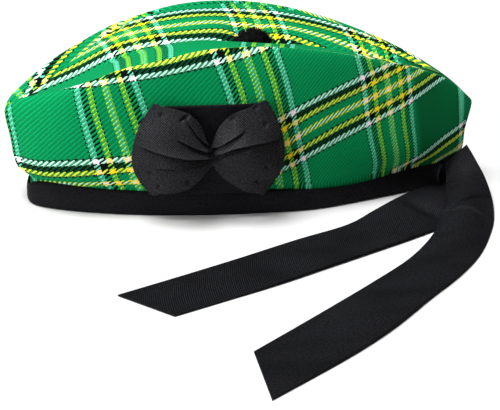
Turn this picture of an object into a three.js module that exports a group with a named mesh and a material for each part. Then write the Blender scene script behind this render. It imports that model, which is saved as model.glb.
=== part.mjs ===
// Glengarry: a boat-shaped cloth cap that stands open on its ribbon band.
// Two side panels rise from the band to two lengthwise ridges. The crown, a leaf-shaped piece,
// dips between the ridges and carries the toorie. A bow is sewn to the wearer's left side,
// and two ribbon tails leave the back of the band and lie on the floor.
//
// Frame: millimetres. +X points to the back of the cap, -Y to the wearer's left and +Z up.
// The origin is the centre of the head opening, on the floor that the band stands on.

import * as THREE from 'three';

const CLOTH = 2.0; // side panel or crown cloth, with its facing
const RIBBON = 1.0; // grosgrain ribbon
const GAP = 0.3; // room left between neighbouring pieces

const BAND_HEIGHT = 16;
const BAND_END_X = 127; // the band stops here on each side, where the tails come out

const TOORIE = { x: 7.4, z: 97.2, radius: 12 };
const PIT_DEPTH = 16; // the stitch of the toorie pulls the crown down here
const PIT_RADIUS = 16;
const VALLEY_POWER = 1.6; // 1 is a straight-sided valley, more rounds it over near the ridges

// One row for each cross-section from the front seam to the back seam. A section passes through
// the foot (inside the band), the belly, the shoulder and the seam that joins it to the crown.
// "half" is the half-width. "dip" is how far the crown's centre line lies below its two seams.
const SECTIONS = table(
  ['footX', 'footHalf', 'footZ', 'bellyX', 'bellyHalf', 'bellyZ', 'shoulderX', 'shoulderHalf',
    'shoulderZ', 'seamX', 'seamHalf', 'seamZ', 'dip'],
  [
    [-135.2, 0.0, 3, -148.0, 0.0, 42, -151.0, 0.0, 60.0, -149.8, 0.0, 63.6, 0.0],
    [-134.0, 7.0, 3, -146.6, 9.0, 42, -148.5, 6.4, 64.8, -144.5, 0.0, 66.2, 0.0],
    [-129.5, 14.0, 3, -141.0, 18.0, 43, -141.5, 12.8, 71.0, -136.5, 0.2, 68.6, 0.0],
    [-119.5, 20.6, 3, -129.0, 29.0, 45, -126.0, 25.2, 79.6, -122.0, 12.8, 75.0, 1.5],
    [-101.0, 27.4, 3, -107.0, 39.0, 48, -104.0, 38.0, 89.4, -104.0, 27.6, 84.6, 4.5],
    [-70.0, 34.6, 3, -73.0, 45.5, 52, -73.0, 43.8, 102.4, -73.0, 38.6, 101.0, 7.0],
    [-33.0, 38.6, 3, -35.0, 48.5, 55, -35.0, 46.0, 112.0, -35.0, 42.2, 111.2, 9.0],
    [5.0, 37.2, 3, 5.0, 48.0, 55, 5.0, 44.6, 113.4, 5.0, 41.0, 112.6, 10.0],
    [42.0, 29.2, 3, 43.0, 42.5, 53, 42.0, 38.6, 107.8, 42.0, 35.4, 107.2, 12.5],
    [77.0, 18.8, 3, 79.0, 32.0, 49, 77.0, 29.4, 97.6, 77.0, 26.4, 97.1, 9.5],
    [106.0, 10.8, 3, 109.0, 21.0, 45, 107.0, 17.2, 85.8, 107.0, 14.2, 85.4, 5.0],
    [126.0, 5.6, 3, 130.0, 11.0, 41, 127.5, 6.4, 75.0, 127.5, 3.6, 74.8, 1.5],
    [133.5, 2.8, 9, 139.5, 5.4, 38, 139.5, 2.0, 66.0, 138.5, 0.5, 66.6, 0.0],
    [139.8, 0.0, 15, 145.4, 0.0, 36, 149.2, 0.0, 55.5, 147.6, 0.0, 58.2, 0.0],
  ],
);
const LAST_SECTION = SECTIONS.length - 1;
const CROWN_FROM = 2.25; // sections between which the crown is wide enough to be sewn in
const CROWN_TO = 11.6;

// The bow is one wide ribbon per side, pinched at the middle. "out" is the distance from the
// pinch to the fold, and the corners stand "up" and "down" from the pinch.
const BOW = { x: -22, z: 45, standOff: 0.8 };
const BOW_LOOPS = table(
  ['name', 'side', 'out', 'cornerIn', 'up', 'down', 'gather', 'puff'],
  [
    ['bow_left_loop', -1, 51, 11.5, 38.5, 26.5, 4, 10],
    ['bow_right_loop', 1, 44, 11.5, 36.5, 28.5, 2.3, 9],
  ],
);
const BOW_BACKING = { halfLength: 31, up: 33, down: 27.5 };

// Each tail has a row for each place along it: the two edges of the ribbon, how high each edge
// lies, and how high the ribbon arches between them.
const TAIL_COLUMNS = ['leftX', 'leftY', 'leftZ', 'rightX', 'rightY', 'rightZ', 'arch'];
const LONG_TAIL = table(TAIL_COLUMNS, [
  [137.0, 1.5, 3.0, 146.8, 5.0, 25.5, 0.5],
  [135.0, -3.0, 3.0, 147.6, -1.5, 24.0, 1.0],
  [132.5, -9.5, 3.0, 150.0, -9.0, 19.5, 3.0],
  [129.6, -21.0, 3.0, 155.8, -18.5, 10.5, 4.5],
  [126.1, -38.0, 3.2, 157.2, -36.0, 3.8, 6.5],
  [122.0, -58.0, 3.2, 155.0, -56.0, 1.4, 7.0],
  [119.0, -72.0, 2.8, 149.5, -80.0, 0.8, 5.5],
  [108.5, -94.0, 1.2, 136.5, -118.0, 0.8, 2.5],
  [90.0, -122.0, 0.8, 119.0, -150.0, 0.8, 0.6],
  [64.0, -152.5, 0.8, 95.0, -182.5, 0.8, 0.2],
  [38.0, -182.5, 0.8, 67.0, -217.0, 0.8, 0.6],
  [10.0, -212.5, 0.8, 37.0, -251.5, 0.8, 0.2],
  [-16.0, -240.0, 0.8, -8.0, -307.0, 0.8, 0.0],
]);
const SHORT_TAIL = table(TAIL_COLUMNS, [
  [142.0, -17.0, 0.8, 135.0, -11.0, 0.8, 0.0],
  [143.0, -38.0, 0.8, 125.5, -14.0, 1.0, 0.0],
  [135.0, -62.0, 0.8, 113.0, -22.0, 2.2, 0.0],
  [117.0, -79.5, 0.8, 99.5, -34.0, 2.6, 0.2],
  [98.0, -93.0, 0.8, 80.0, -50.0, 0.8, 2.0],
  [77.0, -107.0, 0.8, 60.0, -66.5, 0.8, 0.6],
  [45.0, -127.5, 0.8, 26.0, -87.5, 0.8, 0.1],
  [8.0, -150.5, 0.8, -12.0, -110.5, 0.8, 0.3],
  [-26.0, -171.0, 0.8, -47.5, -132.0, 0.8, 0.1],
  [-56.5, -189.5, 0.8, -88.5, -157.0, 0.8, 0.0],
]);

const TARTAN = new THREE.MeshStandardMaterial({ color: 0x0a8f55, roughness: 0.9, metalness: 0 });
const GROSGRAIN = new THREE.MeshStandardMaterial({ color: 0x141417, roughness: 0.75, metalness: 0 });
const WOOL = new THREE.MeshStandardMaterial({ color: 0x0b0b0e, roughness: 1.0, metalness: 0 });

// ---- tables and curves ----

function table(columns, rows) {
  return rows.map((row) => Object.fromEntries(columns.map((name, k) => [name, row[k]])));
}

// Value of one column at a fractional row, along a uniform Catmull-Rom curve.
function along(rows, column, position) {
  const k = Math.min(Math.floor(position), rows.length - 2);
  const t = position - k;
  const pick = (i) => rows[THREE.MathUtils.clamp(i, 0, rows.length - 1)][column];
  const [a, b, c, d] = [pick(k - 1), pick(k), pick(k + 1), pick(k + 2)];
  const m0 = (c - a) / 2;
  const m1 = (d - b) / 2;
  return ((2 * t - 3) * t * t + 1) * b + ((t - 2) * t + 1) * t * m0 + (3 - 2 * t) * t * t * c + (t - 1) * t * t * m1;
}

function steps(from, to, count) {
  return Array.from({ length: count + 1 }, (_, i) => from + ((to - from) * i) / count);
}

// ---- closed walls ----

// A wall between two equal grids of points: both faces and the rim around them.
function wall(outer, inner) {
  const rows = outer.length;
  const cols = outer[0].length;
  const positions = [...outer.flat(), ...inner.flat()].flatMap((p) => [p.x, p.y, p.z]);
  const index = [];
  const at = (layer, i, j) => layer * rows * cols + i * cols + j;
  const quad = (a, b, c, d) => index.push(a, b, c, a, c, d);
  for (let i = 0; i < rows - 1; i += 1) {
    for (let j = 0; j < cols - 1; j += 1) {
      quad(at(0, i, j), at(0, i + 1, j), at(0, i + 1, j + 1), at(0, i, j + 1));
      quad(at(1, i, j), at(1, i, j + 1), at(1, i + 1, j + 1), at(1, i + 1, j));
    }
    quad(at(0, i, 0), at(1, i, 0), at(1, i + 1, 0), at(0, i + 1, 0));
    quad(at(0, i, cols - 1), at(0, i + 1, cols - 1), at(1, i + 1, cols - 1), at(1, i, cols - 1));
  }
  for (let j = 0; j < cols - 1; j += 1) {
    quad(at(0, 0, j), at(0, 0, j + 1), at(1, 0, j + 1), at(1, 0, j));
    quad(at(0, rows - 1, j), at(1, rows - 1, j), at(1, rows - 1, j + 1), at(0, rows - 1, j + 1));
  }
  return facingOut(positions, index);
}

function facingOut(positions, index) {
  const corner = (k) => new THREE.Vector3().fromArray(positions, index[k] * 3);
  let volume = 0;
  for (let k = 0; k < index.length; k += 3) volume += corner(k).dot(corner(k + 1).cross(corner(k + 2)));
  const turned = volume < 0 ? index.flatMap((_, k) => (k % 3 === 0 ? [index[k], index[k + 2], index[k + 1]] : [])) : index;
  const geometry = new THREE.BufferGeometry();
  geometry.setAttribute('position', new THREE.Float32BufferAttribute(positions, 3));
  geometry.setIndex(turned);
  geometry.computeVertexNormals();
  return geometry;
}

// Unit normal of a surface point(a, b), from small steps along both of its parameters.
function normalOf(point, a, b, range) {
  const h = 0.02;
  const da = point(Math.min(a + h, range[1]), b).sub(point(Math.max(a - h, range[0]), b));
  const db = point(a, Math.min(b + h, range[3])).sub(point(a, Math.max(b - h, range[2])));
  return da.cross(db).normalize();
}

// ---- side panels ----

const PANEL_ROWS = [0, 1, 1.5, 2, 2.6, 3.3, 4, 4.5, 5]; // places up the section, in control points

function panelPoint(side, u, v) {
  const at = (name) => along(SECTIONS, name, u);
  const mix = THREE.MathUtils.lerp;
  const controls = [
    [at('footX'), at('footHalf'), at('footZ')],
    [at('footX'), at('footHalf'), BAND_HEIGHT + 0.5],
    [mix(at('footX'), at('bellyX'), 0.72), mix(at('footHalf'), at('bellyHalf'), 0.72), mix(BAND_HEIGHT, at('bellyZ'), 0.34)],
    [at('bellyX'), at('bellyHalf'), at('bellyZ')],
    [at('shoulderX'), at('shoulderHalf'), at('shoulderZ')],
    [at('seamX'), at('seamHalf'), at('seamZ')],
  ];
  const curve = new THREE.CatmullRomCurve3(controls.map(([x, half, z]) => new THREE.Vector3(x, half, z)), false, 'centripetal');
  const p = curve.getPoint(v / (controls.length - 1));
  return new THREE.Vector3(p.x, side * Math.max(p.y, GAP / 2), p.z);
}

function sidePanel(side) {
  const point = (u, v) => panelPoint(side, u, v);
  const range = [0, LAST_SECTION, 0, 5];
  const stations = steps(0, LAST_SECTION, 3 * LAST_SECTION);
  const outer = stations.map((u) => PANEL_ROWS.map((v) => point(u, v)));
  const inner = stations.map((u, i) => PANEL_ROWS.map((v, j) => {
    const p = outer[i][j].clone().addScaledVector(normalOf(point, u, v, range), side * CLOTH);
    p.y = side * Math.max(side * p.y, GAP / 2);
    return p;
  }));
  return wall(outer, inner);
}

// ---- crown ----

function crownPoint(u, w) {
  const half = along(SECTIONS, 'seamHalf', u) - 2 * GAP;
  const x = along(SECTIONS, 'seamX', u);
  const y = w * half;
  const valley = along(SECTIONS, 'dip', u) * (1 - Math.abs(w)) ** VALLEY_POWER;
  const reach = ((x - TOORIE.x) ** 2 + y ** 2) / PIT_RADIUS ** 2;
  const pit = PIT_DEPTH * Math.exp(-reach);
  return new THREE.Vector3(x, y, along(SECTIONS, 'seamZ', u) - valley - pit);
}

function crown() {
  const stations = steps(CROWN_FROM, CROWN_TO, 36);
  const across = steps(-1, 1, 14);
  const outer = stations.map((u) => across.map((w) => crownPoint(u, w)));
  const down = new THREE.Vector3(0, 0, -CLOTH);
  const inner = outer.map((row) => row.map((p) => p.clone().add(down)));
  return wall(outer, inner);
}

// ---- band ----

// Section of the folded ribbon: distance out from the cloth's face, and height.
const BAND_OUTSIDE = [[1.5, BAND_HEIGHT], [3.4, 9], [3.1, 2.2], [1.4, 0], [-3.2, 0], [-5.0, 2.6], [-3.6, BAND_HEIGHT - 1]];
const BAND_INSIDE = [[0.5, BAND_HEIGHT], [2.4, 9], [2.1, 2.8], [0.9, RIBBON], [-2.7, RIBBON], [-3.9, 3.2], [-2.6, BAND_HEIGHT - 1]];

function bandPath(t) {
  const side = t < 0 ? -1 : 1;
  const u = Math.abs(t);
  return new THREE.Vector3(along(SECTIONS, 'footX', u), side * along(SECTIONS, 'footHalf', u), 0);
}

function band() {
  const end = steps(0, LAST_SECTION, 240).find((u) => along(SECTIONS, 'footX', u) > BAND_END_X);
  const places = steps(-end, end, 58);
  const layer = (section) => places.map((t) => {
    const p = bandPath(t);
    const ahead = bandPath(Math.min(t + 0.05, end)).sub(bandPath(Math.max(t - 0.05, -end)));
    const out = new THREE.Vector3(-ahead.y, ahead.x, 0).normalize();
    return section.map(([n, z]) => p.clone().addScaledVector(out, n).setZ(z));
  });
  return wall(layer(BAND_OUTSIDE), layer(BAND_INSIDE));
}

// ---- toorie ----

// The crown's upper face at a place near the toorie.
function crownHeight(x, y) {
  let [low, high] = [CROWN_FROM, CROWN_TO];
  for (let i = 0; i < 24; i += 1) {
    const middle = (low + high) / 2;
    if (along(SECTIONS, 'seamX', middle) < x) low = middle;
    else high = middle;
  }
  return crownPoint(low, y / along(SECTIONS, 'seamHalf', low)).z;
}

// A yarn ball, pressed flat below where it sits in the crown.
function toorie() {
  const ball = new THREE.SphereGeometry(TOORIE.radius, 20, 12);
  ball.rotateX(Math.PI / 2);
  const place = ball.attributes.position;
  for (let i = 0; i < place.count; i += 1) {
    const x = TOORIE.x + place.getX(i);
    const y = place.getY(i);
    place.setXYZ(i, x, y, Math.max(TOORIE.z + place.getZ(i), crownHeight(x, y) + 8 * GAP));
  }
  return ball;
}

// ---- bow ----

// Half-width of the side panel at a place (x, z) on it, found by stepping towards that place.
function panelHalf(x, z) {
  let [u, v] = [6, 3];
  for (let i = 0; i < 40; i += 1) {
    const p = panelPoint(1, u, v);
    u = THREE.MathUtils.clamp(u + (x - p.x) / 40, 0, LAST_SECTION);
    v = THREE.MathUtils.clamp(v + (z - p.z) / 60, 0, 4.8);
  }
  return panelPoint(1, u, v).y;
}

// A place on the bow: a along the cap, c up, n out from the panel. The bow lies on the panel,
// and its lower part hangs from the panel's widest place.
function bowPlace(a, c, n) {
  const [x, z] = [BOW.x + a, BOW.z + c];
  const ground = Math.max(panelHalf(x, z), panelHalf(x, 50) - 2.5);
  return new THREE.Vector3(x, -(ground + BOW.standOff + n), z);
}

function bowBacking() {
  const places = steps(-1, 1, 8).map((s) => steps(-1, 1, 6).map((t) => [
    s * BOW_BACKING.halfLength,
    t > 0 ? t * BOW_BACKING.up : t * BOW_BACKING.down,
  ]));
  const layer = (n) => places.map((row) => row.map(([a, c]) => bowPlace(a, c, n)));
  return wall(layer(RIBBON), layer(0));
}

// One loop: the front leaf leaves the pinch, swells, turns at the fold and ends behind itself.
function bowLoop({ side, out, cornerIn, up, down, gather, puff }) {
  const turn = steps(0, 1, 10).map((s) => [s, 0]).concat(steps(0.25, 1, 3).map((s) => [1, s]));
  const heights = steps(-1, 1, 10);
  const place = (s, back, t, skin) => {
    const spread = 0.16 + 0.84 * (1 - (1 - s) ** gather);
    const reach = out - cornerIn * t * t - (back > 0 ? 0 : skin * s);
    const a = side * (1.2 + (reach - 1.2) * (s - 0.1 * back));
    const c = t * (t > 0 ? up : down) * spread;
    const swell = 3.4 + puff * Math.sin(0.86 * Math.PI * s) * (1 - 0.25 * t * t);
    return bowPlace(a, c, THREE.MathUtils.lerp(swell - skin * (1 - s), 1.6, back));
  };
  const layer = (skin) => turn.map(([s, back]) => heights.map((t) => place(s, back, t, skin)));
  return wall(layer(0), layer(RIBBON));
}

// ---- tails ----

function tail(rows) {
  const places = steps(0, rows.length - 1, 3 * (rows.length - 1));
  const across = steps(0, 1, 4);
  const layer = (lift) => places.map((position) => across.map((t) => {
    const at = (name) => along(rows, name, position);
    const mix = (a, b) => THREE.MathUtils.lerp(at(a), at(b), t);
    const arch = at('arch') * Math.sin(Math.PI * t);
    return new THREE.Vector3(mix('leftX', 'rightX'), mix('leftY', 'rightY'), mix('leftZ', 'rightZ') + arch + lift);
  }));
  return wall(layer(RIBBON / 2), layer(-RIBBON / 2));
}

// ---- assembly ----

const cap = new THREE.Group();

function add(name, geometry, material) {
  const mesh = new THREE.Mesh(geometry, material);
  mesh.name = name;
  cap.add(mesh);
}

add('left_side', sidePanel(-1), TARTAN);
add('right_side', sidePanel(1), TARTAN);
add('crown', crown(), TARTAN);
add('band', band(), GROSGRAIN);
add('toorie', toorie(), WOOL);
add('bow_backing', bowBacking(), GROSGRAIN);
for (const loop of BOW_LOOPS) add(loop.name, bowLoop(loop), GROSGRAIN);
add('long_tail', tail(LONG_TAIL), GROSGRAIN);
add('short_tail', tail(SHORT_TAIL), GROSGRAIN);

export default cap;
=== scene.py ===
# %% [markdown]
# # A glengarry: tartan cloth, grosgrain ribbon and a wool toorie
#
# A glengarry is a boat-shaped cap. Two tall side panels lean in to two lengthwise ridges, a
# leaf-shaped crown dips between the ridges, and a ribbon band holds the mouth. This cap wears
# green tartan, a black bow on the wearer's left and a black toorie on top, and the two ends of
# its band ribbon trail on the floor behind it.
#
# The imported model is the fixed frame. Every piece below is a surface worked out in numpy where
# the frame says it goes, and takes the frame piece's place on show.

import math

import bpy
import numpy as np
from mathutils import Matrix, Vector


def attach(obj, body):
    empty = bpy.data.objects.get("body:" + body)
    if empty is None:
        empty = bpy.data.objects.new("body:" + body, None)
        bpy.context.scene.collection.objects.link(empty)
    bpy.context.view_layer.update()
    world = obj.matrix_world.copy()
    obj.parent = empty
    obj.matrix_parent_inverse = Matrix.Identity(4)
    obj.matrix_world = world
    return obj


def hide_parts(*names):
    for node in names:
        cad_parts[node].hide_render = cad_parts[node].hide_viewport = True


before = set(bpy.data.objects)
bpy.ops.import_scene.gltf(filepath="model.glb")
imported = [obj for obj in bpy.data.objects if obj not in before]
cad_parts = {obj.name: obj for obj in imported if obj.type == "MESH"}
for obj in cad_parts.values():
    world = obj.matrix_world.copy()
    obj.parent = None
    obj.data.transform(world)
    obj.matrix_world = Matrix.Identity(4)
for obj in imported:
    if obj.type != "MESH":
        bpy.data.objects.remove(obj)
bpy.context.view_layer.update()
MM = 0.001
print("frame pieces:", sorted(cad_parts))

# %% [markdown]
# ## The camera comes first
#
# A small product is shot from far away with a long lens, so that its near and far ends keep the
# same scale. The camera is given by where it looks, how far off it stands, and two angles.
# Working from angles is easier to read than a rotation matrix, and a track quaternion turns
# the looking direction into the camera's rotation.

# %% Camera
LOOK_AT = np.array([-0.0041, -0.0974, 0.03])
CAMERA_DISTANCE = 1.6
CAMERA_ABOVE_FLOOR = math.radians(23)
CAMERA_TURN = math.radians(5.65)
LENS_MM = 188.9
SENSOR_MM = 36.0


def place_camera():
    """Stands on the sphere around LOOK_AT and looks at its centre."""
    ahead = Vector((
        math.sin(CAMERA_TURN) * math.cos(CAMERA_ABOVE_FLOOR),
        math.cos(CAMERA_TURN) * math.cos(CAMERA_ABOVE_FLOOR),
        -math.sin(CAMERA_ABOVE_FLOOR),
    ))
    data = bpy.data.cameras.new("camera")
    data.lens = LENS_MM
    data.sensor_width = SENSOR_MM
    camera = bpy.data.objects.new("camera", data)
    bpy.context.scene.collection.objects.link(camera)
    camera.location = Vector(LOOK_AT) - CAMERA_DISTANCE * ahead
    camera.rotation_euler = ahead.to_track_quat("-Z", "Y").to_euler()
    bpy.context.scene.camera = camera
    return camera


print("camera at", [round(c, 3) for c in place_camera().location])

# %% [markdown]
# ## Colours, nodes and walls
#
# Colours are picked as sRGB hex values, but shaders add up light, so they need linear values.
# One function does that. Another adds a shader node with its settings and links, so that a
# material reads as a list. The rest turn a rectangular grid of points into a mesh.
#
# Cloth has two faces. A single sheet would be simpler, but its back would show as a hole
# wherever back faces are not drawn, so each piece is a closed wall: an outer grid, an inner grid and a
# rim.

# %% Colours and nodes


def linear(hex_colour):
    """sRGB hex to linear RGBA: c/12.92 up to 0.04045, and ((c + 0.055)/1.055)^2.4 above it."""
    value = np.array([int(hex_colour[i:i + 2], 16) for i in (1, 3, 5)]) / 255
    light = np.where(value <= 0.04045, value / 12.92, ((value + 0.055) / 1.055) ** 2.4)
    return (*light.tolist(), 1.0)


def add(tree, kind, settings=None, inputs=None):
    """Adds a node. Settings are its properties. Each input is a value, a socket or a node.

    A socket is linked as it is, and of a node its first output is linked.
    """
    node = tree.nodes.new(kind)
    for name, value in (settings or {}).items():
        setattr(node, name, value)
    for name, value in (inputs or {}).items():
        if isinstance(value, bpy.types.Node):
            value = value.outputs[0]
        if isinstance(value, bpy.types.NodeSocket):
            tree.links.new(value, node.inputs[name])
        else:
            node.inputs[name].default_value = value
    return node


def new_material(name):
    """An empty material, its node tree and its Principled shader, wired to the output."""
    material = bpy.data.materials.new(name)
    material.use_nodes = True
    tree = material.node_tree
    tree.nodes.clear()
    output = add(tree, "ShaderNodeOutputMaterial")
    shader = add(tree, "ShaderNodeBsdfPrincipled")
    tree.links.new(shader.outputs[0], output.inputs[0])
    return material, tree, shader


print("middle grey in linear light:", round(linear("#808080")[0], 3))

# %% Grids and their measures


def normals(points):
    """Unit normals of a grid: the cross product of its two tangents, by central differences."""
    across = np.cross(np.gradient(points, axis=0), np.gradient(points, axis=1))
    return across / np.maximum(np.linalg.norm(across, axis=2, keepdims=True), 1e-12)


def arc_length(points, axis):
    """Distance travelled along one axis of a grid, starting from 0 at its first point."""
    step = np.linalg.norm(np.diff(points, axis=axis), axis=2)
    pad = [(0, 0), (0, 0)]
    pad[axis] = (1, 0)
    return np.pad(np.cumsum(step, axis=axis), pad)


def grid_faces(rows, cols, first=0):
    """Quads between neighbours of a grid: (i, j), (i+1, j), (i+1, j+1), (i, j+1)."""
    at = first + np.arange(rows * cols).reshape(rows, cols)
    return np.stack([at[:-1, :-1], at[1:, :-1], at[1:, 1:], at[:-1, 1:]], -1).reshape(-1, 4)


print("a grid of 4 by 5 points has", len(grid_faces(4, 5)), "quads")

# %% Closed walls


def wall(name, outer, inner, threads, material):
    """A closed wall of cloth: outer grid, inner grid and the rim that joins their edges.

    threads gives each grid point its place on the flat cloth in millimetres, which becomes the
    UV map that the weave reads. The faces are turned round if their volume comes out negative.
    """
    rows, cols = outer.shape[:2]
    size = rows * cols
    points = np.concatenate([outer.reshape(-1, 3), inner.reshape(-1, 3)]) * MM
    at = np.arange(size).reshape(rows, cols)
    edge = np.concatenate([at[0, :-1], at[:-1, -1], at[-1, :0:-1], at[:0:-1, 0]])
    after = np.roll(edge, -1)
    rim = np.stack([edge, after, after + size, edge + size], 1)
    faces = np.concatenate([grid_faces(rows, cols), grid_faces(rows, cols, size)[:, ::-1], rim])
    a, b, c, d = (points[faces[:, k]] for k in range(4))
    six_volumes = a * np.cross(b, c) + a * np.cross(c, d)
    if six_volumes.sum() < 0:
        faces = faces[:, ::-1]
    uv = np.concatenate([threads.reshape(-1, 2)] * 2)
    return mesh_object(name, points, faces, uv, material)


def mesh_object(name, points, faces, uv, material):
    """Puts whole arrays into a mesh with foreach_set, smooth shaded, with its UV map."""
    count = faces.shape[1]
    mesh = bpy.data.meshes.new(name)
    mesh.vertices.add(len(points))
    mesh.vertices.foreach_set("co", points.astype(np.float32).ravel())
    mesh.loops.add(faces.size)
    mesh.loops.foreach_set("vertex_index", faces.astype(np.int32).ravel())
    mesh.polygons.add(len(faces))
    mesh.polygons.foreach_set("loop_start", np.arange(0, faces.size, count, dtype=np.int32))
    mesh.polygons.foreach_set("use_smooth", np.ones(len(faces), bool))
    layer = mesh.uv_layers.new(name="threads")
    layer.data.foreach_set("uv", uv[faces.ravel()].astype(np.float32).ravel())
    mesh.update(calc_edges=True)
    mesh.validate()
    mesh.materials.append(material)
    obj = bpy.data.objects.new(name, mesh)
    bpy.context.scene.collection.objects.link(obj)
    print(f"{name}: {len(points)} points, {len(faces) * (count - 2)} triangles")
    return obj


# %% [markdown]
# ## Tartan: worsted wool in a two-and-two twill
#
# In a tartan the same row of coloured threads, the sett, runs both ways. In a twill each thread
# passes over two and under two of the others, one step further along in every row, and that
# draws slanted strokes across the cloth. A stripe lying one way is a rope of slanted strokes,
# a stripe lying the other way is a fine dotted band, and where two of a colour cross they make
# a solid star.
#
# An image of tartan would tile and blur. Here the pattern is computed from where a point lies
# on the flat cloth: its place along the cap and its place up the cap, in millimetres, both
# from the UV map. Folding each place back and forth over half a sett gives the thread colour,
# and a slanted sawtooth says which thread is on top.
#
# The real strokes are under two millimetres apart. They are drawn at about twice that so that
# they still show from a metre and a half away. A slow noise makes them wander a little, since
# no cloth that has been steamed over a block keeps its strokes quite straight.

# %% The sett, from the middle of a stripe group outwards
# Millimetres of flat cloth: half the repeat, the spacing of strokes and dots, how far threads
# step sideways in a stroke, and where the back of a panel starts to lie flat, in painted shade.
HALF_SETT = 44.0
STROKE_ALONG = 4.10
STROKE_UP = 2.85
DOT_ALONG = 1.90
TOOTH = 2.4
PRESSED_AND_SHADED_FROM = 282.0
SETT = [
    # starts at mm, thread
    (0.00, "white"),
    (0.60, "yellow"),
    (2.10, "green"),
    (7.60, "black"),
    (8.70, "yellow"),
    (11.90, "black"),
    (16.40, "white"),
    (19.80, "black"),
    (20.90, "green"),
]
# Looks of a thread: lengthwise or upright among green ones, the light dots of an upright
# stripe, and the full colour where two coloured stripes cross.
LENGTHWISE = {"green": "#00894F", "white": "#BAEDD8", "yellow": "#CCDF38", "black": "#010605"}
UPRIGHT = {"green": "#00703E", "white": "#3BA681", "yellow": "#4AA326", "black": "#010D08"}
DOTS = {"green": "#00703E", "white": "#80D9B6", "yellow": "#AAD639", "black": "#010D08"}
CROSSING = {"green": "#075C3C", "white": "#EADFE2", "yellow": "#F4D41C", "black": "#040405"}
# What a thread is: red 1 if green, green 1 if coloured, blue how far it shows through others.
KIND = {"green": (1, 0, 0.0), "white": (0, 1, 0.07), "yellow": (0, 1, 0.07), "black": (0, 0, 0.70)}


def sett_ramp(tree, place, looks):
    """Thread colour, or kind, by distance from a group's middle as a part of half a sett.

    The stops get their places first and their colours after, because the ramp sorts them.
    """
    ramp = add(tree, "ShaderNodeValToRGB", inputs={0: place})
    ramp.color_ramp.interpolation = "CONSTANT"
    stops = ramp.color_ramp.elements
    while len(stops) < len(SETT):
        stops.new(0.999)
    for stop, (start, _) in zip(stops, SETT):
        stop.position = start / HALF_SETT
    for stop, (_, thread) in zip(stops, SETT):
        look = looks[thread]
        stop.color = linear(look) if isinstance(look, str) else (*look, 1.0)
    return ramp.outputs[0]


print("sett repeats every", 2 * HALF_SETT, "mm")

# %% The strokes of the twill
SMOOTH = {"interpolation_type": "SMOOTHSTEP"}
FLAT = {"noise_dimensions": "2D"}
WANDER = 0.35


def twill_strokes(tree, uv, at, up):
    """The stroke, whether an upright thread is on top, and the light dots on its core.

    The stroke is the steps along less the steps up, plus a slow noise, folded to run from 0 to
    0.5. Below 0.25 a lengthwise thread is on top, and above it an upright one.
    """
    steps_along = add(tree, "ShaderNodeMath", {"operation": "DIVIDE"}, {0: at, 1: STROKE_ALONG})
    steps_up = add(tree, "ShaderNodeMath", {"operation": "DIVIDE"}, {0: up, 1: STROKE_UP})
    slant = add(tree, "ShaderNodeMath", {"operation": "SUBTRACT"}, {0: steps_along, 1: steps_up})
    noise = add(tree, "ShaderNodeTexNoise", FLAT, {"Vector": uv, "Scale": 0.35, "Detail": 1.0})
    slant = add(tree, "ShaderNodeMath", {"operation": "MULTIPLY_ADD"}, {0: noise, 1: WANDER, 2: slant})
    stroke = add(tree, "ShaderNodeMath", {"operation": "PINGPONG"}, {0: slant, 1: 0.5})
    on_top = add(tree, "ShaderNodeMapRange", SMOOTH, {0: stroke, 1: 0.20, 2: 0.30})
    # The core of an upright stroke catches the light, cut into dots by the threads beside it.
    core = add(tree, "ShaderNodeMapRange", SMOOTH, {0: stroke, 1: 0.30, 2: 0.42})
    beside = add(tree, "ShaderNodeMath", {"operation": "DIVIDE"}, {0: at, 1: DOT_ALONG})
    beside = add(tree, "ShaderNodeMath", {"operation": "PINGPONG"}, {0: beside, 1: 0.5})
    beside = add(tree, "ShaderNodeMapRange", SMOOTH, {0: beside, 1: 0.05, 2: 0.25})
    dots = add(tree, "ShaderNodeMath", {"operation": "MULTIPLY"}, {0: core, 1: beside})
    return stroke, on_top, dots


def sett_places(tree, at, up, stroke):
    """Where a point lies in half a sett, along and up, each from 0 to 1.

    The threads step sideways with each stroke, so every stripe has a toothed edge.
    """
    off = add(tree, "ShaderNodeMath", {"operation": "SUBTRACT"}, {0: stroke, 1: 0.25})
    tooth = add(tree, "ShaderNodeMath", {"operation": "MULTIPLY"}, {0: off, 1: TOOTH})
    places = []
    for way in (at, up):
        toothed = add(tree, "ShaderNodeMath", {"operation": "ADD"}, {0: way, 1: tooth})
        folded = add(tree, "ShaderNodeMath", {"operation": "PINGPONG"}, {0: toothed, 1: HALF_SETT})
        places.append(add(tree, "ShaderNodeMath", {"operation": "DIVIDE"}, {0: folded, 1: HALF_SETT}))
    return places


print("strokes", STROKE_ALONG, "mm apart along the cloth and", STROKE_UP, "mm apart up it")

# %% Colours where the two setts cross
COLOURS = {"data_type": "RGBA"}
DARKER = {"data_type": "RGBA", "blend_type": "DARKEN"}
TIMES = {"data_type": "RGBA", "blend_type": "MULTIPLY"}


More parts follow.
